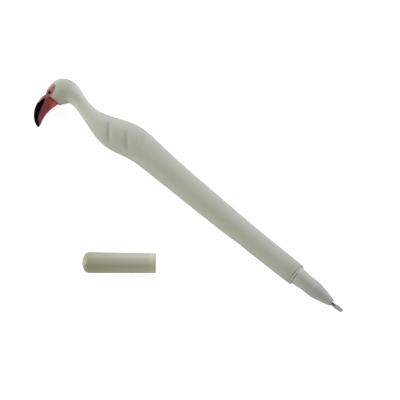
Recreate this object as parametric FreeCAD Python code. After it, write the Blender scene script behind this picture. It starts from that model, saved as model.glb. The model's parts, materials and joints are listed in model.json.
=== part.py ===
import FreeCAD, Part
import math
import os

os.makedirs("parts", exist_ok=True)
V = FreeCAD.Vector

# A ballpoint pen whose soft sleeve is moulded as a long-necked wading bird, with its cap
# taken off and lying beside it. Everything is drawn first in the pen's own frame, in mm:
#   x along the pen's axis, 0 just outside the sleeve's rim, positive towards the writing tip
#   y negative towards the beak, 0 on the axis
#   z across the flat of the bird, which is the same on both sides
# and is then laid down as it comes to rest on a table.

# driving dimensions
running = 0.02

sleeve_rim_x = -0.6
sleeve_rim_r = 5.5
rim_round = 0.9
bore_r = 4.0
bore_back = -112.5
mouth_recess = 0.6
mouth_recess_r = bore_r + 0.42

barrel_wall = 0.7
barrel_id_r = bore_r - barrel_wall
barrel_back = bore_back + 0.5
barrel_floor = 2.0

collar_r = bore_r + 0.15
neck_r = bore_r + 0.05
bead_r = neck_r + 0.33
bead_from = 0.8
bead_to = 3.9
cone_start = 11.0
mouth_x = 21.45
spigot_len = 10.0

refill_play = 0.3
refill_r = barrel_id_r - refill_play
refill_wall = 0.8
ink_r = refill_r - refill_wall
refill_tail = -84.0
refill_front = 7.0
ink_tail = -58.0
ink_front = 1.0
follower_len = 4.0

tip_r = 1.16
tip_seat_x = 11.5
tip_cone_x = 23.7
ball_r = 0.35
ball_x = 26.2
channel_r = 0.45
channel_end = ball_x - ball_r - 0.25

nose_bore_r = refill_r + 0.05
tip_hole_r = tip_r + 0.06
mouth_r = tip_hole_r + 0.56
holder_step_x = 8.3
holder_cone_x = 13.0
holder_end_x = 15.5
holder_r = tip_r + 0.74

guard_back = tip_cone_x + 0.05
guard_r = 1.12
guard_flange_r = tip_r + 0.12
guard_end = 28.1

cap_len = 36.05
cap_bore_r = neck_r + 0.15
cap_open_r = cap_bore_r + 0.65
cap_closed_r = cap_open_r + 0.27
cap_dome = 3.1
cap_floor = 2.6
cap_floor_bevel = 1.0
cap_snap = 2.3
cap_turn_deg = 41.0
cap_closed_end = (-84.05, -64.0)

eye_r = 0.72
eye_x = -159.95
eye_b = 5.45
eye_stands_out = 0.4

groove_r = 1.1
groove_ring_r = 100.0

tenon_from = -155.2
tenon_to = -161.0
tenon_root = 7.1
tenon_depth = 2.9
tenon_half = 2.2

# ribs of the sleeve, from the rim to the face
# each is: x and distance to the beak's side on that side, the same on the bird's back,
# and half the thickness of the bird there
sleeve_ribs = [
    (sleeve_rim_x, sleeve_rim_r, sleeve_rim_x, -sleeve_rim_r, sleeve_rim_r),
    (-7.0, 5.6, -7.0, -5.62, 5.55),
    (-14.0, 5.65, -14.0, -5.68, 5.6),
    (-22.0, 5.7, -22.0, -5.77, 5.65),
    (-29.0, 5.72, -29.0, -5.9, 5.72),
    (-34.5, 5.58, -34.5, -6.05, 5.8),
    (-39.5, 5.98, -39.5, -6.2, 5.92),
    (-49.0, 6.05, -49.0, -6.6, 6.1),
    (-60.0, 6.08, -60.0, -7.0, 6.25),
    (-71.0, 6.0, -71.0, -7.45, 6.4),
    (-81.0, 5.98, -81.0, -7.95, 6.55),
    (-91.0, 5.98, -91.0, -8.55, 6.68),
    (-98.5, 5.95, -98.8, -9.35, 6.8),
    (-103.5, 6.12, -104.6, -9.88, 6.86),
    (-108.5, 6.95, -110.2, -9.93, 6.88),
    (-113.0, 8.12, -115.6, -9.17, 6.75),
    (-117.5, 8.98, -120.2, -7.47, 6.4),
    (-122.0, 9.18, -123.8, -6.17, 5.9),
    (-126.0, 8.6, -126.7, -5.17, 5.35),
    (-129.7, 7.75, -129.2, -4.28, 4.8),
    (-133.3, 6.7, -132.0, -3.4, 4.25),
    (-137.0, 5.5, -135.5, -2.82, 3.8),
    (-140.8, 4.4, -139.2, -2.85, 3.55),
    (-144.2, 3.45, -142.8, -3.52, 3.55),
    (-147.1, 2.92, -146.6, -4.76, 3.95),
    (-149.3, 3.02, -150.4, -6.2, 4.65),
    (-150.35, 3.32, -154.6, -6.93, 5.3),
    (-150.65, 3.6, -158.6, -6.12, 5.7),
    (-150.82, 3.9, -161.93, -3.85, 5.85),
    (-151.07, 4.25, -163.4, -1.1, 5.8),
    (-151.45, 4.72, -163.82, 1.8, 5.55),
    (-152.05, 5.3, -163.65, 4.3, 5.1),
    (-152.5, 6.1, -163.1, 5.8, 4.65),
    (-152.95, 7.0, -162.5, 7.0, 4.25),
]

# ribs of the beak, from the face to the hooked tip
beak_ribs = [
    (-154.2, 7.0, -162.2, 7.0, 3.45),
    (-154.75, 9.0, -163.05, 8.8, 3.5),
    (-155.42, 11.0, -163.1, 11.2, 3.35),
    (-155.62, 13.2, -162.9, 13.9, 3.0),
    (-155.64, 15.2, -162.05, 16.55, 2.6),
    (-155.4, 17.0, -160.75, 18.65, 2.2),
    (-154.97, 18.7, -159.2, 20.42, 1.75),
    (-154.45, 20.2, -157.5, 21.75, 1.3),
    (-154.1, 21.3, -155.95, 22.5, 0.85),
    (-154.0, 22.15, -154.8, 22.75, 0.45),
]


def rib(row, plump=0.0):
    # twelve control points round the bird; plump squares its shoulders a little
    xa, ba, xb, bb, half = row
    mid = V((xa + xb) / 2, -(ba + bb) / 2, 0)
    arm = V(xa, -ba, 0) - mid
    swell = 3.0 / (2.0 + math.cos(math.pi / 6))
    poles = []
    for k in range(12):
        a = 2 * math.pi * k / 12
        ca = math.cos(a)
        sa = math.sin(a)
        fat = swell * (1 + plump * (ca * sa) ** 2)
        poles.append(mid + arm * (ca * fat) + V(0, 0, half * sa * fat))
    return poles


def skin(rows, plump=0.0):
    # a smooth cubic surface drawn over the ribs and closed by a flat face at each end
    poles = [rib(r, plump) for r in rows]
    spans = len(rows) - 3
    surface = Part.BSplineSurface()
    surface.buildFromPolesMultsKnots(
        poles, [4] + [1] * (spans - 1) + [4], [1] * 13,
        [float(i) for i in range(spans + 1)], [float(i) for i in range(13)],
        False, True, 3, 3)
    side = surface.toShape()
    ends = [Part.Face(Part.Wire([surface.uIso(u).toShape()])) for u in (0.0, float(spans))]
    shell = Part.makeShell([side] + ends)
    shell.sewShape()
    solid = Part.makeSolid(shell)
    if solid.Volume < 0:
        solid.reverse()
    return solid


def turned(points):
    # a solid turned about the pen's axis from (x, r) points; a three-item entry is the
    # middle point of an arc to the next one
    edges = []
    here = None
    through = None
    for p in points:
        if len(p) == 3:
            through = V(p[0], p[1], 0)
            continue
        there = V(p[0], p[1], 0)
        if here is not None and here.distanceToPoint(there) > 1e-7:
            if through is None:
                edges.append(Part.makeLine(here, there))
            else:
                edges.append(Part.Arc(here, through, there).toShape())
        here = there
        through = None
    first = V(points[0][0], points[0][1], 0)
    if here.distanceToPoint(first) > 1e-7:
        edges.append(Part.makeLine(here, first))
    face = Part.Face(Part.Wire(edges))
    return face.revolve(V(0, 0, 0), V(1, 0, 0), 360)


def rod(x0, x1, r):
    return Part.makeCylinder(r, x1 - x0, V(x0, 0, 0), V(1, 0, 0))


def dome(x_edge, r_edge, x_top):
    # middle point of a domed end whose centre lies on the axis
    rise = abs(x_top - x_edge)
    way = math.copysign(1.0, x_top - x_edge)
    r = (r_edge ** 2 + rise ** 2) / (2 * rise)
    a = math.atan2(r_edge, r - rise) / 2
    return (x_top - way * r * (1 - math.cos(a)), r * math.sin(a), 0)


# beak: one moulding, set in a pocket of the face by a tenon
beak = skin(beak_ribs, 0.25)
tenon_steps = [tenon_root - tenon_depth * (3 - i) / 3 for i in range(4)]
tenon = skin([(tenon_from, b, tenon_to, b, tenon_half) for b in tenon_steps])
beak = beak.fuse(tenon)

# sleeve: barrel, body, neck and head in one soft moulding
sleeve = skin(sleeve_ribs)
recess_x = sleeve_rim_x - mouth_recess
rim_arc = rim_round * (1 - math.sqrt(0.5))
rim_out = 0.15
rim_cut = turned([
    (1.0, sleeve_rim_r - rim_round),
    (sleeve_rim_x, sleeve_rim_r - rim_round),
    (sleeve_rim_x - rim_arc, sleeve_rim_r - rim_arc, 0),
    (sleeve_rim_x - rim_round * 1.2, sleeve_rim_r + rim_out),
    (sleeve_rim_x - rim_round * 1.2, sleeve_rim_r + 3.0),
    (1.0, sleeve_rim_r + 3.0),
])
sleeve = sleeve.cut(rim_cut)
sleeve = sleeve.cut(rod(bore_back, 1.0, bore_r))
sleeve = sleeve.cut(rod(recess_x, 1.0, mouth_recess_r))
sleeve = sleeve.cut(tenon)


def flat_height(solid, x, y):
    # how far the bird's flat stands from the middle plane at a place
    return solid.common(Part.makeLine(V(x, y, 0.0), V(x, y, 12.0))).BoundBox.ZMax


def groove(solid, row):
    # the same shallow groove on both flats: x and y of its middle, its direction, its depth
    gx, gy, turn, depth = row
    height = flat_height(solid, gx, gy)
    a = math.radians(turn)
    across = V(-math.sin(a), -math.cos(a), 0)
    for side in (1, -1):
        centre = V(gx, gy, side * (height - depth + groove_r - groove_ring_r))
        solid = solid.cut(Part.makeTorus(groove_ring_r, groove_r, centre, across))
    return solid


eye_z = flat_height(sleeve, eye_x, -eye_b) + eye_stands_out - eye_r

# shallow feather grooves of the folded wing
wing_grooves = [
    (-121.0, -2.95, 47.0, 0.6),
    (-110.7, -0.45, 43.0, 0.55),
    (-104.1, 4.5, 49.0, 0.3),
]
for row in wing_grooves:
    sleeve = groove(sleeve, row)

# eyes: two small beads let into the head
eyes = []
for side in (1, -1):
    eyes.append(Part.makeSphere(eye_r, V(eye_x, -eye_b, side * eye_z)))
for eye in eyes:
    sleeve = sleeve.cut(eye)

# rigid tube inside the sleeve, closed at the back
inner_barrel = rod(barrel_back, recess_x, bore_r)
inner_barrel = inner_barrel.cut(rod(barrel_back + barrel_floor, 1.0, barrel_id_r))

# nose section: spigot, snap bead, neck and cone, bored for the refill
bead_top = bead_from + 1.1
nose_section = turned([
    (-spigot_len, nose_bore_r),
    (-spigot_len, barrel_id_r - 0.12),
    (-spigot_len + 0.8, barrel_id_r - running),
    (recess_x + running, barrel_id_r - running),
    (recess_x + running, collar_r),
    (bead_from, collar_r),
    (bead_from + 0.45, bead_r - 0.04, 0),
    (bead_top, bead_r),
    ((bead_top + bead_to) / 2, (bead_r + neck_r) / 2 + 0.08, 0),
    (bead_to, neck_r),
    (cone_start - 0.5, neck_r),
    (cone_start + 0.35, neck_r - 0.03, 0),
    (cone_start + 1.1, neck_r - 0.2),
    (16.7, 2.95, 0),
    (mouth_x - 0.15, mouth_r + 0.02),
    (mouth_x, mouth_r - 0.16),
    (mouth_x, tip_hole_r),
    (holder_end_x + 0.7, tip_hole_r),
    (holder_end_x + 0.1, holder_r + 0.05),
    (holder_cone_x, holder_r),
    (holder_step_x, refill_r),
    (holder_step_x, nose_bore_r),
])

# refill
refill_tube = rod(refill_tail, refill_front, refill_r)
refill_tube = refill_tube.cut(rod(refill_tail - 1, refill_front + 1, refill_r - refill_wall))
ink_follower = rod(ink_tail - follower_len, ink_tail, ink_r)
ink_column = rod(ink_tail, ink_front, ink_r).fuse(rod(ink_front, channel_end, channel_r))
ink_column = ink_column.removeSplitter()

tip_holder = turned([
    (ink_front, channel_r),
    (ink_front, ink_r),
    (refill_front, ink_r),
    (refill_front, refill_r),
    (holder_step_x, refill_r),
    (holder_cone_x, holder_r),
    (holder_end_x, holder_r),
    (holder_end_x, tip_r),
    (tip_seat_x, tip_r),
    (tip_seat_x, channel_r),
])
metal_tip = turned([
    (tip_seat_x, channel_r),
    (tip_seat_x, tip_r),
    (tip_cone_x, tip_r),
    (ball_x + 0.05, ball_r + 0.07),
    (ball_x + 0.05, 0.0),
    (channel_end, 0.0),
    (channel_end, channel_r),
])
writing_ball = Part.makeSphere(ball_r, V(ball_x, 0, 0))
metal_tip = metal_tip.cut(Part.makeSphere(ball_r + running, V(ball_x, 0, 0)))

# soft guard pressed over the writing tip
guard_inside = turned([
    (guard_back - 1.0, 0.0),
    (guard_back - 1.0, tip_r + running),
    (tip_cone_x + running, tip_r + running),
    (ball_x + 0.07, ball_r + 0.1),
    (ball_x + ball_r + 0.25, ball_r + running),
    (ball_x + ball_r + 0.25, 0.0),
])
tip_protector = turned([
    (guard_back, 0.0),
    (guard_back, guard_flange_r - 0.12),
    (guard_back + 0.12, guard_flange_r),
    (guard_back + 0.75, guard_flange_r),
    (guard_back + 0.95, guard_r + 0.03),
    (guard_end - 0.95, guard_r - 0.04),
    dome(guard_end - 0.95, guard_r - 0.04, guard_end),
    (guard_end, 0.0),
])
tip_protector = tip_protector.cut(guard_inside)

# cap, drawn with its open end at x = 0 and its dome at x = -cap_len
def cap_end(turn):
    # a point of the cap's round end, which is half an oval: 0 at the pole, 90 at its shoulder
    a = math.radians(turn)
    return (-cap_len + cap_dome * (1 - math.cos(a)), cap_closed_r * math.sin(a))


crown_x, crown_r = cap_end(45)
cap_out = turned([
    (0.0, 0.0),
    (0.0, cap_open_r - 0.35),
    (-0.1, cap_open_r - 0.1, 0),
    (-0.35, cap_open_r),
    cap_end(90),
    cap_end(68) + (0,),
    (crown_x, crown_r),
    dome(crown_x, crown_r, -cap_len),
    (-cap_len, 0.0),
])
snap_r = bead_r + 0.04
inner_end = -cap_len + cap_floor
cap_in = turned([
    (1.0, 0.0),
    (1.0, cap_bore_r),
    (-cap_snap + 1.4, cap_bore_r),
    (-cap_snap + 1.0, snap_r),
    (-cap_snap - 0.6, snap_r),
    (-cap_snap - 1.3, cap_bore_r),
    (inner_end + cap_floor_bevel, cap_bore_r),
    (inner_end, cap_bore_r - cap_floor_bevel),
    (inner_end, 0.0),
])
pen_cap = cap_out.cut(cap_in)

# how the pen comes to rest: on its barrel near the rim, on the body and on the beak
rest_points = [v for s in (sleeve, beak) for v in s.tessellate(0.05)[0]]


def height(p, roll, pitch):
    # z of a point after turning about the pen's axis and then dipping the tip
    z = p.z * math.cos(roll) + p.y * math.sin(roll)
    return z * math.cos(pitch) - p.x * math.sin(pitch)


def settle():
    roll = math.radians(17)
    pitch = math.radians(0.7)
    front = [p for p in rest_points if p.x > -30]
    body = [p for p in rest_points if -125 < p.x < -85]
    bill = [p for p in rest_points if p.x < -150 and p.y < -7]
    for turn in range(12):
        low, high = -0.05, 0.05
        for step in range(30):
            pitch = (low + high) / 2
            lift = min(height(p, roll, pitch) for p in body)
            if lift > min(height(p, roll, pitch) for p in front):
                high = pitch
            else:
                low = pitch
        low, high = 0.0, 0.6
        for step in range(30):
            roll = (low + high) / 2
            bill_z = min(height(p, roll, pitch) for p in bill)
            if bill_z > min(height(p, roll, pitch) for p in front):
                low = roll
            else:
                high = roll
    return roll, pitch, min(height(p, roll, pitch) for p in rest_points)


roll, pitch, floor_z = settle()
rest = FreeCAD.Placement(V(0, 0, -floor_z), FreeCAD.Rotation(V(0, 1, 0), math.degrees(pitch)))
rest = rest.multiply(FreeCAD.Placement(V(0, 0, 0), FreeCAD.Rotation(V(1, 0, 0), math.degrees(roll))))

pen = {
    "flamingo_sleeve": sleeve,
    "beak": beak,
    "eye_upper": eyes[0],
    "eye_lower": eyes[1],
    "inner_barrel": inner_barrel,
    "nose_section": nose_section,
    "refill_tube": refill_tube,
    "ink_column": ink_column,
    "ink_follower": ink_follower,
    "tip_holder": tip_holder,
    "metal_tip": metal_tip,
    "writing_ball": writing_ball,
    "tip_protector": tip_protector,
}
laid = {}
for name, shape in pen.items():
    laid[name] = shape.copy()
    laid[name].Placement = rest.multiply(laid[name].Placement)

# the cap lies on its side, turned on the table, its closed end at a given place
turn = math.radians(cap_turn_deg)
dip = math.atan2(cap_closed_r - cap_open_r, cap_len - cap_dome)
cap_axis = V(math.cos(turn), math.sin(turn), 0)
cap_side = V(-math.sin(turn), math.cos(turn), 0)
cap_rot = FreeCAD.Rotation(cap_side, math.degrees(dip)).multiply(
    FreeCAD.Rotation(V(0, 0, 1), cap_turn_deg))
rest_height = cap_open_r * math.cos(dip)
mouth = V(cap_closed_end[0], cap_closed_end[1], rest_height) + cap_axis * (cap_len * math.cos(dip))
laid["pen_cap"] = pen_cap.copy()
laid["pen_cap"].Placement = FreeCAD.Placement(mouth, cap_rot)

# origin: middle of the whole footprint, on the table
points = [v for s in laid.values() for v in s.tessellate(0.02)[0]]
shift = V(
    -(min(p.x for p in points) + max(p.x for p in points)) / 2,
    -(min(p.y for p in points) + max(p.y for p in points)) / 2,
    0,
)
for name, shape in laid.items():
    shape.translate(shift)
    shape.exportStep("parts/%s.step" % name)
    box = shape.optimalBoundingBox()
    print(name, shape.isValid(), len(shape.Solids), round(shape.Volume, 2),
          [round(c, 3) for c in (box.XMin, box.XMax, box.YMin, box.YMax, box.ZMin, box.ZMax)])
print("roll", round(math.degrees(roll), 3), "pitch", round(math.degrees(pitch), 3))
print("rim centre", rest.multVec(V(0, 0, 0)) + shift)
print("axis", rest.Rotation.multVec(V(1, 0, 0)))
print("cap mouth", mouth + shift)
print("cap axis", cap_rot.multVec(V(1, 0, 0)))
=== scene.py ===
import json
import math
import bmesh
import bpy
import numpy as np
from mathutils import Matrix, Vector


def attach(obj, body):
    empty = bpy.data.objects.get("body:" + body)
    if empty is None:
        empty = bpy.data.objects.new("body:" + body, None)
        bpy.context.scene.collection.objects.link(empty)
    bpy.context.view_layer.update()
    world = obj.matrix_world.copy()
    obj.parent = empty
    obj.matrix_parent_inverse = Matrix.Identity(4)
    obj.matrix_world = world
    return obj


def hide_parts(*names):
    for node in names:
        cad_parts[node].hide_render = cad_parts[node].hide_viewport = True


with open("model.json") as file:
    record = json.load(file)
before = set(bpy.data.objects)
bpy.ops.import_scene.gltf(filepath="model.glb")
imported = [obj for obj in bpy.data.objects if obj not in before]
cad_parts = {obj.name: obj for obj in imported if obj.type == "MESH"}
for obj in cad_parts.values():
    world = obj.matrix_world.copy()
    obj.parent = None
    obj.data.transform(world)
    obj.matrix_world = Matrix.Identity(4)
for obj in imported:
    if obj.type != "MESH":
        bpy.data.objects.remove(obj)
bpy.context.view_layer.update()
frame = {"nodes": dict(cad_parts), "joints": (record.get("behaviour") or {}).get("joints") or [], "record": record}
nodes = frame["nodes"]
scene = bpy.context.scene

mm = 0.001


def row_named(rows, name):
    return next(row for row in rows if row["name"] == name)


# how the pen lies: from its own frame (mm, x along the axis) to the table (m)
slide_axis = Vector(row_named(frame["joints"], "nose_draw")["axis"]).normalized()
ball = Vector(row_named(frame["joints"], "ball_roll")["pos_m"])
ball_x = 26.2
roll_deg = 16.4
pitch = math.asin(-slide_axis.z)
rim = ball - slide_axis * ball_x * mm
rest = (
    Matrix.Translation(rim)
    @ Matrix.Rotation(pitch, 4, "Y")
    @ Matrix.Rotation(math.radians(roll_deg), 4, "X")
    @ Matrix.Scale(mm, 4)
)

# how the cap lies: its own frame has x = 0 at the mouth and the dome at negative x
bore_middle_to_mouth = 18.025
cap_mount = row_named(frame["record"]["mounts"], "cap_bore")
cap_axis = Vector(cap_mount["axis"]).normalized()
cap_mouth = Vector(cap_mount["pos_m"]) + cap_axis * bore_middle_to_mouth * mm
cap_side = Vector((0, 0, 1)).cross(cap_axis).normalized()
cap_up = cap_axis.cross(cap_side)
cap_rest = Matrix((
    (cap_axis.x, cap_side.x, cap_up.x, cap_mouth.x),
    (cap_axis.y, cap_side.y, cap_up.y, cap_mouth.y),
    (cap_axis.z, cap_side.z, cap_up.z, cap_mouth.z),
    (0, 0, 0, 1),
)) @ Matrix.Scale(mm, 4)

# ribs of the sleeve and the beak, as in the construction: x and distance to the
# beak's side on that side, the same on the back, half the thickness there
sleeve_ribs = [
    (-0.6, 5.5, -0.6, -5.5, 5.5),
    (-7.0, 5.6, -7.0, -5.62, 5.55),
    (-14.0, 5.65, -14.0, -5.68, 5.6),
    (-22.0, 5.7, -22.0, -5.77, 5.65),
    (-29.0, 5.72, -29.0, -5.9, 5.72),
    (-34.5, 5.58, -34.5, -6.05, 5.8),
    (-39.5, 5.98, -39.5, -6.2, 5.92),
    (-49.0, 6.05, -49.0, -6.6, 6.1),
    (-60.0, 6.08, -60.0, -7.0, 6.25),
    (-71.0, 6.0, -71.0, -7.45, 6.4),
    (-81.0, 5.98, -81.0, -7.95, 6.55),
    (-91.0, 5.98, -91.0, -8.55, 6.68),
    (-98.5, 5.95, -98.8, -9.35, 6.8),
    (-103.5, 6.12, -104.6, -9.88, 6.86),
    (-108.5, 6.95, -110.2, -9.93, 6.88),
    (-113.0, 8.12, -115.6, -9.17, 6.75),
    (-117.5, 8.98, -120.2, -7.47, 6.4),
    (-122.0, 9.18, -123.8, -6.17, 5.9),
    (-126.0, 8.6, -126.7, -5.17, 5.35),
    (-129.7, 7.75, -129.2, -4.28, 4.8),
    (-133.3, 6.7, -132.0, -3.4, 4.25),
    (-137.0, 5.5, -135.5, -2.82, 3.8),
    (-140.8, 4.4, -139.2, -2.85, 3.55),
    (-144.2, 3.45, -142.8, -3.52, 3.55),
    (-147.1, 2.92, -146.6, -4.76, 3.95),
    (-149.3, 3.02, -150.4, -6.2, 4.65),
    (-150.35, 3.32, -154.6, -6.93, 5.3),
    (-150.65, 3.6, -158.6, -6.12, 5.7),
    (-150.82, 3.9, -161.93, -3.85, 5.85),
    (-151.07, 4.25, -163.4, -1.1, 5.8),
    (-151.45, 4.72, -163.82, 1.8, 5.55),
    (-152.05, 5.3, -163.65, 4.3, 5.1),
    (-152.5, 6.1, -163.1, 5.8, 4.65),
    (-152.95, 7.0, -162.5, 7.0, 4.25),
]
beak_ribs = [
    (-154.2, 7.0, -162.2, 7.0, 3.45),
    (-154.75, 9.0, -163.05, 8.8, 3.5),
    (-155.42, 11.0, -163.1, 11.2, 3.35),
    (-155.62, 13.2, -162.9, 13.9, 3.0),
    (-155.64, 15.2, -162.05, 16.55, 2.6),
    (-155.4, 17.0, -160.75, 18.65, 2.2),
    (-154.97, 18.7, -159.2, 20.42, 1.75),
    (-154.45, 20.2, -157.5, 21.75, 1.3),
    (-154.1, 21.3, -155.95, 22.5, 0.85),
    (-154.0, 22.15, -154.8, 22.75, 0.45),
]


def cubic(knots, count, t):
    # values at t of the cubic spline's basis functions over these knots
    n = [1.0 if knots[i] <= t < knots[i + 1] else 0.0 for i in range(len(knots) - 1)]
    for d in (1, 2, 3):
        m = []
        for i in range(len(n) - 1):
            a = knots[i + d] - knots[i]
            b = knots[i + d + 1] - knots[i + 1]
            left = (t - knots[i]) / a * n[i] if a > 0 else 0.0
            right = (knots[i + d + 1] - t) / b * n[i + 1] if b > 0 else 0.0
            m.append(left + right)
        n = m
    return n[:count]


# each rib is carried by this many control points around
sides = 12


def skin_grid(rows, plump, steps, around):
    # points of the surface over the ribs: rings of points, in equal steps along it
    # plump fills the corners of a section out from an oval
    spans = len(rows) - 3
    ts = [spans * i / steps for i in range(steps + 1)]
    knots = [0.0] * 3 + [float(i) for i in range(spans + 1)] + [float(spans)] * 3
    swell = 3.0 / (2.0 + math.cos(2 * math.pi / sides))
    poles = np.zeros((len(rows), sides, 3))
    for i, (xa, ba, xb, bb, half) in enumerate(rows):
        for k in range(sides):
            a = 2 * math.pi * k / sides
            ca, sa = math.cos(a), math.sin(a)
            fat = swell * (1 + plump * (ca * sa) ** 2)
            poles[i, k] = (
                (xa + xb) / 2 + (xa - xb) / 2 * ca * fat,
                -(ba + bb) / 2 - (ba - bb) / 2 * ca * fat,
                half * sa * fat,
            )
    along = np.array([cubic(knots, len(rows), min(t, spans - 1e-9)) for t in ts])
    ring = np.zeros((around, sides))
    for j in range(around):
        v = sides * j / around
        for k in range(sides):
            d = abs((v - k + sides / 2) % sides - sides / 2)
            if d < 1:
                ring[j, k] = 2 / 3 - d * d + d ** 3 / 2
            elif d < 2:
                ring[j, k] = (2 - d) ** 3 / 6
    return np.einsum("ti,ikc,jk->tjc", along, poles, ring)


def mesh_of_rings(name, grid, matrix, body, close_start=True, close_end=True):
    # a closed skin through rings of points
    rows, around = grid.shape[:2]
    verts = grid.reshape(-1, 3).tolist()
    faces = []
    for i in range(rows - 1):
        for j in range(around):
            k = (j + 1) % around
            here, after = i * around, (i + 1) * around
            faces.append((here + j, here + k, after + k, after + j))
    if close_start:
        faces.append(tuple(range(around - 1, -1, -1)))
    if close_end:
        faces.append(tuple((rows - 1) * around + j for j in range(around)))
    mesh = bpy.data.meshes.new(name)
    mesh.from_pydata(verts, [], faces)
    mesh.transform(matrix)
    mesh.validate()
    mesh.update()
    obj = bpy.data.objects.new(name, mesh)
    scene.collection.objects.link(obj)
    mesh.shade_smooth()
    bpy.context.view_layer.update()
    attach(obj, body)
    return obj


def centre_through(p1, p2, p3):
    # centre of the circle through three points
    (x1, y1), (x2, y2), (x3, y3) = p1, p2, p3
    s1, s2, s3 = x1**2 + y1**2, x2**2 + y2**2, x3**2 + y3**2
    d = 2 * (x1 * (y2 - y3) + x2 * (y3 - y1) + x3 * (y1 - y2))
    ux = (s1 * (y2 - y3) + s2 * (y3 - y1) + s3 * (y1 - y2)) / d
    uy = (s1 * (x3 - x2) + s2 * (x1 - x3) + s3 * (x2 - x1)) / d
    return ux, uy


def outline(points, steps=10):
    # (x, r) points of a turned profile; a three-item entry is the middle of an arc
    out = []
    through = None
    for p in points:
        if len(p) == 3:
            through = p
            continue
        if through is not None:
            ends = (out[-1], through[:2], p)
            ux, uy = centre_through(*ends)
            r = math.hypot(ends[0][0] - ux, ends[0][1] - uy)
            a1, a2, a3 = (math.atan2(y - uy, x - ux) for x, y in ends)
            turn = (a3 - a1 + math.pi) % (2 * math.pi) - math.pi
            half = (a2 - a1 + math.pi) % (2 * math.pi) - math.pi
            if turn * half < 0:
                turn -= math.copysign(2 * math.pi, turn)
            for s in range(1, steps):
                a = a1 + turn * s / steps
                out.append((ux + r * math.cos(a), uy + r * math.sin(a)))
            through = None
        out.append(tuple(p))
    return out


def dome(x_edge, r_edge, x_top):
    # middle point of a domed end whose centre lies on the axis
    rise = abs(x_top - x_edge)
    way = math.copysign(1.0, x_top - x_edge)
    r = (r_edge**2 + rise**2) / (2 * rise)
    a = math.atan2(r_edge, r - rise) / 2
    return (x_top - way * r * (1 - math.cos(a)), r * math.sin(a), 0)


def turned(name, points, matrix, body, around=96, ring=False):
    # a turned piece; ring joins the last point back to the first
    path = outline(points)
    grid = np.zeros((len(path), around, 3))
    for i, (x, r) in enumerate(path):
        for j in range(around):
            a = 2 * math.pi * j / around
            grid[i, j] = (x, max(r, 1e-4) * math.cos(a), max(r, 1e-4) * math.sin(a))
    if ring:
        grid = np.concatenate([grid, grid[:1]])
    obj = mesh_of_rings(name, grid, matrix, body, close_start=not ring, close_end=not ring)
    if ring:
        weld(obj)
    soften(obj)
    return obj


def weld(obj):
    # joins the first and last ring where they meet
    bm = bmesh.new()
    bm.from_mesh(obj.data)
    bmesh.ops.remove_doubles(bm, verts=bm.verts, dist=1e-7)
    bmesh.ops.recalc_face_normals(bm, faces=bm.faces)
    bm.to_mesh(obj.data)
    bm.free()


def soften(obj, sharp_deg=32):
    # smooth faces, with sharp edges only where the surface turns by more than this
    obj.data.shade_smooth()
    obj.data.set_sharp_from_angle(angle=math.radians(sharp_deg))


def material(name):
    # a new material with its node tree and its shader
    m = bpy.data.materials.new(name)
    m.use_nodes = True
    m.node_tree.nodes.clear()
    out = m.node_tree.nodes.new("ShaderNodeOutputMaterial")
    bsdf = m.node_tree.nodes.new("ShaderNodeBsdfPrincipled")
    m.node_tree.links.new(bsdf.outputs["BSDF"], out.inputs["Surface"])
    return m, m.node_tree, bsdf


def node(tree, kind, **values):
    n = tree.nodes.new(kind)
    for key, value in values.items():
        n.inputs[key].default_value = value
    return n


def maths(tree, op, a, b=None, clamp=False):
    n = tree.nodes.new("ShaderNodeMath")
    n.operation = op
    n.use_clamp = clamp
    for i, v in enumerate((a, b)):
        if v is None:
            continue
        if isinstance(v, (int, float)):
            n.inputs[i].default_value = v
        else:
            tree.links.new(v, n.inputs[i])
    return n.outputs[0]


def product(tree, *values):
    out = values[0]
    for v in values[1:]:
        out = maths(tree, "MULTIPLY", out, v)
    return out


def mix(tree, fac, a, b):
    # colour a where fac is 0, colour b where it is 1
    n = tree.nodes.new("ShaderNodeMix")
    n.data_type = "RGBA"
    for socket, v in ((n.inputs[0], fac), (n.inputs[6], a), (n.inputs[7], b)):
        if hasattr(v, "node"):
            tree.links.new(v, socket)
        else:
            socket.default_value = v + (1,)
    return n.outputs[2]


def ramp(tree, value, low, high):
    # 0 below low, 1 above high, smooth between
    n = tree.nodes.new("ShaderNodeMapRange")
    n.interpolation_type = "SMOOTHSTEP"
    n.inputs["From Min"].default_value = low
    n.inputs["From Max"].default_value = high
    tree.links.new(value, n.inputs["Value"])
    return n.outputs["Result"]


def curve(tree, value, points):
    # a smooth line through (value, height) points, level beyond its ends
    (x0, x1), (y0, y1) = [(min(c), max(c)) for c in zip(*points)]
    n = tree.nodes.new("ShaderNodeFloatCurve")
    line = n.mapping.curves[0]
    for i, (x, y) in enumerate(points):
        place = ((x - x0) / (x1 - x0), (y - y0) / (y1 - y0))
        if i == 0:
            line.points[0].location = place
        elif i == len(points) - 1:
            line.points[-1].location = place
        else:
            line.points.new(*place)
    n.mapping.update()
    part = maths(tree, "DIVIDE", maths(tree, "SUBTRACT", value, x0), x1 - x0, clamp=True)
    tree.links.new(part, n.inputs["Value"])
    return maths(tree, "ADD", maths(tree, "MULTIPLY", n.outputs[0], y1 - y0), y0)


def scaled(tree, color, by):
    n = tree.nodes.new("ShaderNodeVectorMath")
    n.operation = "SCALE"
    tree.links.new(color, n.inputs[0])
    tree.links.new(by, n.inputs["Scale"])
    return n.outputs[0]


def groove_place(tree, x, b, gx, gb, turn):
    # how far a point lies from a groove's line and, along it, from its middle
    ca, sa = math.cos(math.radians(turn)), math.sin(math.radians(turn))
    dx = maths(tree, "SUBTRACT", x, gx)
    db = maths(tree, "SUBTRACT", b, gb)
    along = maths(tree, "ADD", product(tree, dx, ca), product(tree, db, sa))
    across = maths(tree, "SUBTRACT", product(tree, db, ca), product(tree, dx, sa))
    return maths(tree, "ABSOLUTE", across), maths(tree, "ABSOLUTE", along)


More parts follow.
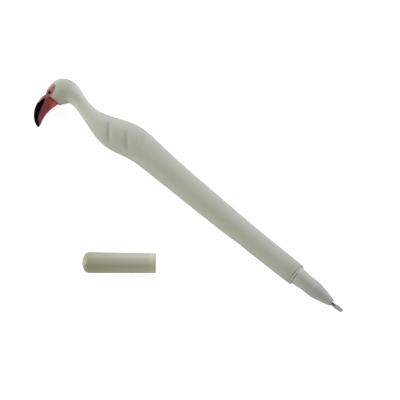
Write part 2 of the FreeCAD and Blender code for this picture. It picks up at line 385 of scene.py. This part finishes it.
def noise(tree, coord, scale, detail):
    n = node(tree, "ShaderNodeTexNoise", Scale=scale, Detail=detail, Roughness=0.5)
    tree.links.new(coord, n.inputs["Vector"])
    return n.outputs["Fac"]


def wander(tree, coord, scale, reach):
    # a small irregular shift, up to half of reach either way
    shift = maths(tree, "SUBTRACT", noise(tree, coord, scale, 2.0), 0.5)
    return product(tree, shift, reach)


def bump(tree, bsdf, height, strength):
    # dents up to a twentieth of a millimetre deep
    b = node(tree, "ShaderNodeBump", Strength=strength, Distance=0.05 * mm)
    tree.links.new(height, b.inputs["Height"])
    tree.links.new(b.outputs["Normal"], bsdf.inputs["Normal"])


def axes(tree, matrix=rest):
    # a point's place in mm in the pen's own frame (or the cap's), also while the piece moves
    place, turn, size = matrix.inverted().decompose()
    coord = tree.nodes.new("ShaderNodeTexCoord")
    frame_node = tree.nodes.new("ShaderNodeMapping")
    frame_node.inputs["Location"].default_value = place
    frame_node.inputs["Rotation"].default_value = turn.to_euler()
    frame_node.inputs["Scale"].default_value = size
    tree.links.new(coord.outputs["Object"], frame_node.inputs["Vector"])
    out = frame_node.outputs["Vector"]
    sep = tree.nodes.new("ShaderNodeSeparateXYZ")
    tree.links.new(out, sep.inputs[0])
    return out, sep.outputs["X"], product(tree, sep.outputs["Y"], -1.0)


def finish(tree, bsdf, where, rough, grain, spread=0.12):
    # a fine grain and a varying gloss
    fine = noise(tree, where, 5.0, 2.0)
    gloss = maths(tree, "ADD", product(tree, fine, spread), rough - spread / 2)
    tree.links.new(gloss, bsdf.inputs["Roughness"])
    bump(tree, bsdf, fine, grain)


def plain(name, color, rough, spread=0.03, **extra):
    # one colour with a soft mottle; extra names sockets of the shader
    m, t, bsdf = material(name)
    where = axes(t)[0]
    dark = tuple(c * (1 - spread) for c in color)
    light = tuple(min(1, c * (1 + spread)) for c in color)
    t.links.new(mix(t, noise(t, where, 0.6, 4.0), dark, light), bsdf.inputs["Base Color"])
    finish(t, bsdf, where, rough, 0.05)
    for key, value in extra.items():
        bsdf.inputs[key.replace("_", " ")].default_value = value
    return m


def soft(bsdf, weight):
    # light gets about a millimetre into the plastic
    bsdf.inputs["Subsurface Weight"].default_value = weight
    bsdf.inputs["Subsurface Radius"].default_value = (1.0, 0.9, 0.7)
    bsdf.inputs["Subsurface Scale"].default_value = mm


def press(grid, grooves):
    # sinks soft-edged grooves into the two flats of a skin
    flat = grid.copy()
    height = np.abs(flat[:, :, 2])
    for gx, gy, turn, depth, half_len, half_wid in grooves:
        a = math.radians(turn)
        ux, uy = math.cos(a), -math.sin(a)
        dx, dy = flat[:, :, 0] - gx, flat[:, :, 1] - gy
        along = dx * ux + dy * uy
        across = -dx * uy + dy * ux
        fade = np.clip(1 - (along / half_len) ** 2, 0, 1)
        shape = np.exp(-((across / half_wid) ** 2)) * fade
        grid[:, :, 2] -= np.sign(flat[:, :, 2]) * depth * shape * np.clip(height / 3, 0, 1)
    return grid


def dress(obj, mat):
    obj.data.materials.clear()
    obj.data.materials.append(mat)


# feather grooves of the wing: x and y of the middle, direction, depth, half length, half width
wing_grooves = [
    (-121.0, -2.95, 47.0, 0.6, 6.2, 1.2),
    (-110.7, -0.45, 43.0, 0.55, 6.2, 1.2),
    (-104.1, 4.5, 49.0, 0.3, 5.0, 1.1),
]

# soft white moulding, with the painted pink of the face
# x and b are in mm: b is the distance towards the beak's side, from the pen's axis
skin_mat, t, bsdf = material("soft white moulding")
where, x, b = axes(t)
base = mix(t, noise(t, where, 0.12, 5.0), (0.605, 0.61, 0.555), (0.63, 0.635, 0.585))
# painted light and shade along the sleeve: lighter over the neck and head, darker towards the rim
painted_shade = curve(t, x, [
    (-163.0, 1.0), (-158.0, 0.95), (-152.0, 1.06), (-146.0, 1.12), (-138.0, 1.12),
    (-130.0, 1.05), (-122.0, 1.0), (-60.0, 1.0), (-24.0, 0.985), (-11.0, 0.965),
    (-6.0, 0.925), (-2.0, 0.86),
])
base = scaled(t, base, painted_shade)
# painted shade: the feather grooves are painted a little darker, as shade falls in them
for gx, gy, turn, depth, half_len, half_wid in wing_grooves:
    across, along = groove_place(t, x, b, gx, -gy, turn)
    groove_shade = product(t, ramp(t, across, 1.5, 0.2), ramp(t, along, half_len, half_len * 0.5))
    base = mix(t, maths(t, "MULTIPLY", groove_shade, depth * 0.5), base, (0.42, 0.45, 0.38))
# the pink of the face: how far it lies in front of its edge, and how far it reaches
edge = curve(t, b, [(0.3, -161.8), (1.1, -159.95), (1.8, -159.3), (3.2, -158.9), (7.0, -158.45)])
away = maths(t, "SUBTRACT", maths(t, "ADD", edge, wander(t, where, 1.4, 0.35)), x)
reach = curve(t, b, [(0.3, 2.2), (2.0, 3.4), (4.5, 4.8), (6.2, 7.5)])
fade = ramp(t, maths(t, "SUBTRACT", reach, away), 0.0, 2.6)
patch = product(t, ramp(t, away, -1.2, 0.1), fade, ramp(t, b, 0.2, 1.4))
tone = mix(t, ramp(t, away, 0.2, 1.6), (0.38, 0.12, 0.11), (0.44, 0.155, 0.165))
tone = mix(t, ramp(t, b, 5.0, 6.6), tone, (0.34, 0.09, 0.11))
base = mix(t, patch, base, tone)
# a paler band runs along the beak, and next to it the step to the beak is painted dark as painted shade
face = ramp(t, x, -151.0, -152.0)
root = product(t, ramp(t, b, 5.85, 6.3), ramp(t, away, 0.3, -0.3), face)
base = mix(t, root, base, (0.70, 0.42, 0.39))
step_shade = product(t, ramp(t, b, 6.93, 6.99), ramp(t, away, 0.5, 0.0), ramp(t, x, -153.5, -154.1))
base = mix(t, step_shade, base, (0.16, 0.015, 0.013))
# a dark smudge lies round the eye
off_x = maths(t, "SUBTRACT", x, -160.0)
off_b = maths(t, "SUBTRACT", b, 5.6)
off = maths(t, "SQRT", maths(t, "ADD", product(t, off_x, off_x), product(t, off_b, off_b)))
base = mix(t, ramp(t, off, 1.2, 0.75), base, (0.06, 0.001, 0.002))
# painted shade: a dark line runs round the sleeve just behind the edge of the rim
ring = product(t, ramp(t, x, -1.75, -1.25), ramp(t, x, -0.65, -1.0))
base = mix(t, maths(t, "MULTIPLY", ring, 0.42), base, (0.27, 0.27, 0.20))
# painted light: the end of the rim is painted paler and a little blue
base = mix(t, ramp(t, x, -0.95, -0.65), base, (0.66, 0.655, 0.74))
t.links.new(base, bsdf.inputs["Base Color"])
finish(t, bsdf, where, 0.55, 0.04, 0.1)
soft(bsdf, 0.25)
bsdf.inputs["Specular IOR Level"].default_value = 0.2

# beak: red, orange near its root, darker mauve beside the black, a painted highlight as a grey band along the
# ridge, and a dark line of painted shade at its root
beak_mat, t, bsdf = material("pink and black beak")
where, x, b = axes(t)
wob = wander(t, where, 0.9, 0.2)
right = curve(t, b, [
    (9.0, -160.4), (10.4, -159.45), (13.2, -158.7), (16.3, -158.05), (19.5, -156.55),
    (20.5, -155.7), (21.7, -154.0),
])
left = curve(t, b, [(9.0, -160.5), (10.8, -161.3), (12.5, -161.6), (13.3, -162.4), (14.0, -165.0)])
beyond = maths(t, "SUBTRACT", maths(t, "ADD", x, wob), right)
before = maths(t, "SUBTRACT", maths(t, "ADD", x, wob), left)
across = product(t, ramp(t, beyond, 0.15, -0.15), ramp(t, before, -0.15, 0.15))
black = product(t, across, ramp(t, b, 8.8, 9.1))
red = mix(t, noise(t, where, 0.5, 4.0), (0.34, 0.054, 0.082), (0.38, 0.066, 0.10))
orange = product(t, ramp(t, b, 11.0, 8.5), ramp(t, x, -158.6, -157.2))
red = mix(t, orange, red, (0.50, 0.085, 0.075))
pink = product(t, ramp(t, b, 13.0, 9.5), ramp(t, x, -156.6, -155.2))
red = mix(t, pink, red, (0.68, 0.15, 0.19))
red = mix(t, ramp(t, b, 11.0, 17.0), red, (0.30, 0.078, 0.135))
red = mix(t, ramp(t, beyond, 1.1, 0.2), red, (0.21, 0.07, 0.095))
# painted highlight: a pale grey band along the ridge, beside the black
ridge_highlight = product(t, ramp(t, before, 0.2, -0.2), ramp(t, b, 8.4, 9.4))
red = mix(t, ridge_highlight, red, (0.34, 0.25, 0.25))
crown = product(t, ramp(t, b, 9.2, 7.6), ramp(t, x, -158.6, -159.4))
red = mix(t, crown, red, (0.44, 0.15, 0.18))
# painted shade: a dark line in the seam where the beak meets the head
line = product(t, ramp(t, b, 7.45, 7.2), ramp(t, x, -158.9, -158.4))
red = mix(t, line, red, (0.12, 0.008, 0.008))
t.links.new(mix(t, black, red, (0.001, 0.0005, 0.0005)), bsdf.inputs["Base Color"])
finish(t, bsdf, where, 0.5, 0.04, 0.12)
bsdf.inputs["Specular IOR Level"].default_value = 0.015

eye_mat = plain(
    "black bead", (0.002, 0.0005, 0.0005), 0.5, spread=0.2, Specular_IOR_Level=0.01)

# cap: painted light and shade, darker and more olive towards the closed end, lightest at the mouth, and darker
# along one side
cap_mat, t, bsdf = material("white cap")
where, x, b = axes(t, cap_rest)
base = mix(t, noise(t, where, 0.15, 4.0), (0.58, 0.585, 0.52), (0.60, 0.605, 0.54))
base = mix(t, ramp(t, x, -6.0, -36.0), base, (0.59, 0.60, 0.46))
painted_shade = curve(t, x, [
    (-34.0, 0.80), (-28.0, 0.86), (-18.0, 0.965), (-8.0, 1.02), (-4.0, 1.05), (-2.0, 1.17),
    (-0.4, 1.12),
])
# painted shade round the cap: darker along one side
side_shade = curve(t, b, [
    (-1.4, 0.98), (0.3, 1.06), (1.8, 1.07), (3.1, 0.965), (4.2, 0.90), (4.9, 0.965),
])
t.links.new(scaled(t, base, product(t, painted_shade, side_shade)), bsdf.inputs["Base Color"])
finish(t, bsdf, where, 0.48, 0.03)
soft(bsdf, 0.15)

# frosted nose: as white as the sleeve at its bead, greyer towards the cone
frost_mat, t, bsdf = material("frosted nose")
where, x, b = axes(t)
base = mix(t, noise(t, where, 0.3, 4.0), (0.575, 0.575, 0.55), (0.595, 0.595, 0.575))
cone = mix(t, noise(t, where, 0.35, 4.0), (0.50, 0.49, 0.52), (0.53, 0.52, 0.545))
base = mix(t, ramp(t, x, 2.0, 13.0), base, cone)
# painted light: the nose is painted paler where it comes out of the sleeve
base = mix(t, ramp(t, x, 1.4, 0.0), base, (0.72, 0.72, 0.71))
t.links.new(base, bsdf.inputs["Base Color"])
finish(t, bsdf, where, 0.5, 0.06)
soft(bsdf, 0.2)

hard_mat = plain("hard white tube", (0.72, 0.72, 0.70), 0.4)
clear_mat = plain("clear tube", (0.85, 0.87, 0.88), 0.12, spread=0.02, Alpha=0.45)
ink_mat = plain("ink", (0.012, 0.012, 0.018), 0.2, spread=0.2)
grease_mat = plain("grease", (0.62, 0.58, 0.36), 0.25)
steel_mat = plain("turned metal", (0.62, 0.62, 0.62), 0.28, spread=0.06, Metallic=1.0)
ball_mat = plain("ball", (0.55, 0.55, 0.56), 0.15, spread=0.05, Metallic=1.0)
guard_mat = plain("soft guard", (0.63, 0.63, 0.65), 0.35, spread=0.03, Transmission_Weight=0.25)

# sleeve: the rim, turned, then the skin over the ribs from just behind it
sleeve_around = 120
skin_from = -2.1
grid = skin_grid(sleeve_ribs, 0.0, 480, sleeve_around)
grid = grid[[ring[:, 0].max() < skin_from for ring in grid]]
grid = press(grid, wing_grooves)
rim_path = outline([
    (-8.0, 4.0),
    (-1.2, 4.0),
    (-1.2, 4.42),
    (-0.6, 4.42),
    (-0.6, 4.75),
    (-0.8, 5.28, 0),
    (-1.35, 5.5),
    (-2.0, 5.5),
])
rings = np.zeros((len(rim_path), sleeve_around, 3))
for i, (x, r) in enumerate(rim_path):
    for j in range(sleeve_around):
        a = 2 * math.pi * j / sleeve_around
        rings[i, j] = (x, -r * math.cos(a), r * math.sin(a))
grid = np.concatenate([rings, grid])
sleeve = mesh_of_rings("sleeve_skin", grid, rest, "pen_body", close_start=False)
soften(sleeve, 40)
dress(sleeve, skin_mat)
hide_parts("flamingo_sleeve")

grid = skin_grid(beak_ribs, 0.25, 150, 96)
beak = mesh_of_rings("beak_skin", grid, rest, "pen_body")
soften(beak, 40)
dress(beak, beak_mat)
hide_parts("beak")

# turned pieces: x and radius in mm, in the pen's own frame or the cap's
nose = turned("nose_skin", [
    (-10.0, 3.05),
    (-10.0, 3.18),
    (-9.2, 3.28),
    (-1.18, 3.28),
    (-1.18, 4.15),
    (-0.9, 4.4),
    (0.8, 4.4),
    (1.9, 4.38),
    (2.9, 4.295, 0),
    (3.9, 4.05),
    (10.5, 4.05),
    (11.35, 4.02, 0),
    (12.1, 3.85),
    (16.7, 2.95, 0),
    (21.3, 1.8),
    (21.45, 1.62),
    (21.45, 1.22),
    (16.2, 1.22),
    (15.6, 1.95),
    (13.0, 1.9),
    (8.3, 3.0),
    (8.3, 3.05),
], rest, "nose", ring=True)
dress(nose, frost_mat)
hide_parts("nose_section")

tip = turned("tip_skin", [
    (11.5, 0.45),
    (11.5, 1.16),
    (23.7, 1.16),
    (26.2, 0.43),
    (26.25, 0.36),
    (25.95, 0.2),
], rest, "nose", around=48)
dress(tip, steel_mat)
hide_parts("metal_tip")

guard = turned("guard_skin", [
    (23.75, 1.18),
    (23.75, 1.2),
    (23.79, 1.25, 0),
    (23.87, 1.28),
    (24.4, 1.28),
    (24.6, 1.22, 0),
    (24.7, 1.15),
    (27.15, 1.08),
    dome(27.15, 1.08, 28.1),
    (28.1, 0.0),
], rest, "guard", around=48)
dress(guard, guard_mat)
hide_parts("tip_protector")

cap = turned("cap_skin", [
    (-33.45, 0.0),
    (-33.45, 3.2),
    (-32.45, 4.2),
    (-3.6, 4.2),
    (-2.9, 4.42),
    (-1.3, 4.42),
    (-0.9, 4.2),
    (-0.06, 4.2),
    (0.0, 4.27),
    (0.0, 4.5),
    (-0.1, 4.75, 0),
    (-0.35, 4.85),
    (-32.95, 5.12),
    (-34.111, 4.747, 0),
    (-35.142, 3.62),
    dome(-35.142, 3.62, -36.05),
    (-36.05, 0.0),
], cap_rest, "pen_body")
dress(cap, cap_mat)
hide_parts("pen_cap")

for name, mat, slot in (
    ("eye_upper", eye_mat, "eye_black"),
    ("eye_lower", eye_mat, "eye_black"),
    ("inner_barrel", hard_mat, "hard_white"),
    ("refill_tube", clear_mat, "refill_clear"),
    ("ink_column", ink_mat, "ink"),
    ("ink_follower", grease_mat, "follower_grease"),
    ("tip_holder", clear_mat, "refill_clear"),
    ("writing_ball", ball_mat, "ball_metal"),
):
    nodes[name].data.shade_smooth()
    nodes[name].data.set_sharp_from_angle(angle=math.radians(35))
    dress(nodes[name], mat)

# table
floor_mat, t, bsdf = material("pale table")
coord = t.nodes.new("ShaderNodeTexCoord")
tone = noise(t, coord.outputs["Object"], 3.0, 2.0)
t.links.new(mix(t, tone, (0.33, 0.33, 0.33), (0.36, 0.36, 0.36)), bsdf.inputs["Base Color"])
bsdf.inputs["Roughness"].default_value = 0.9
bsdf.inputs["Specular IOR Level"].default_value = 0.0
bsdf.inputs["Emission Color"].default_value = (1, 1, 1, 1)
bsdf.inputs["Emission Strength"].default_value = 0.85

# the table runs out flat and sweeps up into a wall all round; its own glow is seen,
# and doesn't light the pen
flat_r, curve_r, wall_top, table_around = 3.0, 1.0, 4.0, 64
sweep = [(0.0, 0.0), (0.5, 0.0), (flat_r, 0.0)]
for i in range(1, 13):
    a = math.radians(90 * i / 12)
    sweep.append((flat_r + curve_r * math.sin(a), curve_r * (1 - math.cos(a))))
sweep.append((flat_r + curve_r, wall_top))
verts = []
faces = []
for r, z in sweep:
    for j in range(table_around):
        a = 2 * math.pi * j / table_around
        verts.append((max(r, 0.001) * math.cos(a), max(r, 0.001) * math.sin(a), z))
for i in range(len(sweep) - 1):
    here, after = i * table_around, (i + 1) * table_around
    for j in range(table_around):
        k = (j + 1) % table_around
        faces.append((here + j, here + k, after + k, after + j))
faces.append(tuple(range(table_around - 1, -1, -1)))
mesh = bpy.data.meshes.new("table")
mesh.from_pydata(verts, [], faces)
mesh.update()
floor = bpy.data.objects.new("table", mesh)
scene.collection.objects.link(floor)
floor.data.materials.append(floor_mat)
glow = bpy.data.collections.new("lit by the table")
glow.objects.link(floor)
floor.light_linking.receiver_collection = glow

# a dark room, four soft lights and the camera
world = bpy.data.worlds.new("room")
scene.world = world
world.use_nodes = True
background = world.node_tree.nodes["Background"]
background.inputs["Color"].default_value = (1.0, 1.0, 1.0, 1)
background.inputs["Strength"].default_value = 0.0

camera_turn, camera_rise, camera_from = 41.4, 63.0, 1.0
light_from = 1.5
aim = Vector((rim.x - 65.25 * mm, rim.y + 1.77 * mm, 0))


def way_to(turn, rise):
    # a direction from the pen: turn from -y towards +x, rise above the table, in degrees
    a, e = math.radians(turn), math.radians(rise)
    return Vector((math.sin(a) * math.cos(e), -math.cos(a) * math.cos(e), math.sin(e)))


def softbox(name, turn, rise, size, power, tint):
    # a square light: turn 0 is the camera's side
    place = way_to(camera_turn + turn, rise) * light_from
    data = bpy.data.lights.new(name, "AREA")
    data.shape = "SQUARE"
    data.size = size
    data.energy = power
    data.color = tint
    obj = bpy.data.objects.new(name, data)
    scene.collection.objects.link(obj)
    obj.location = aim + place
    obj.rotation_mode = "QUATERNION"
    obj.rotation_quaternion = place.to_track_quat("Z", "Y")


softbox("softbox right front", 45, 10, 0.6, 8.6, (0.98, 1.0, 0.62))
softbox("softbox right back", 135, 34, 0.8, 8.0, (0.87, 0.89, 1.0))
softbox("softbox back", 180, 34, 0.8, 10.1, (1.0, 1.0, 0.92))
softbox("softbox left", 270, 10, 0.6, 14.2, (0.97, 1.0, 0.89))

data = bpy.data.cameras.new("camera")
camera = bpy.data.objects.new("camera", data)
scene.collection.objects.link(camera)
data.sensor_width = 36
data.lens = 180
data.clip_start = 0.05
data.clip_end = 20
back = way_to(camera_turn, camera_rise)
camera.location = aim + back * camera_from
camera.rotation_mode = "QUATERNION"
camera.rotation_quaternion = (-back).to_track_quat("-Z", "Y")
scene.camera = camera
scene.view_settings.view_transform = "Standard"
scene.view_settings.look = "None"
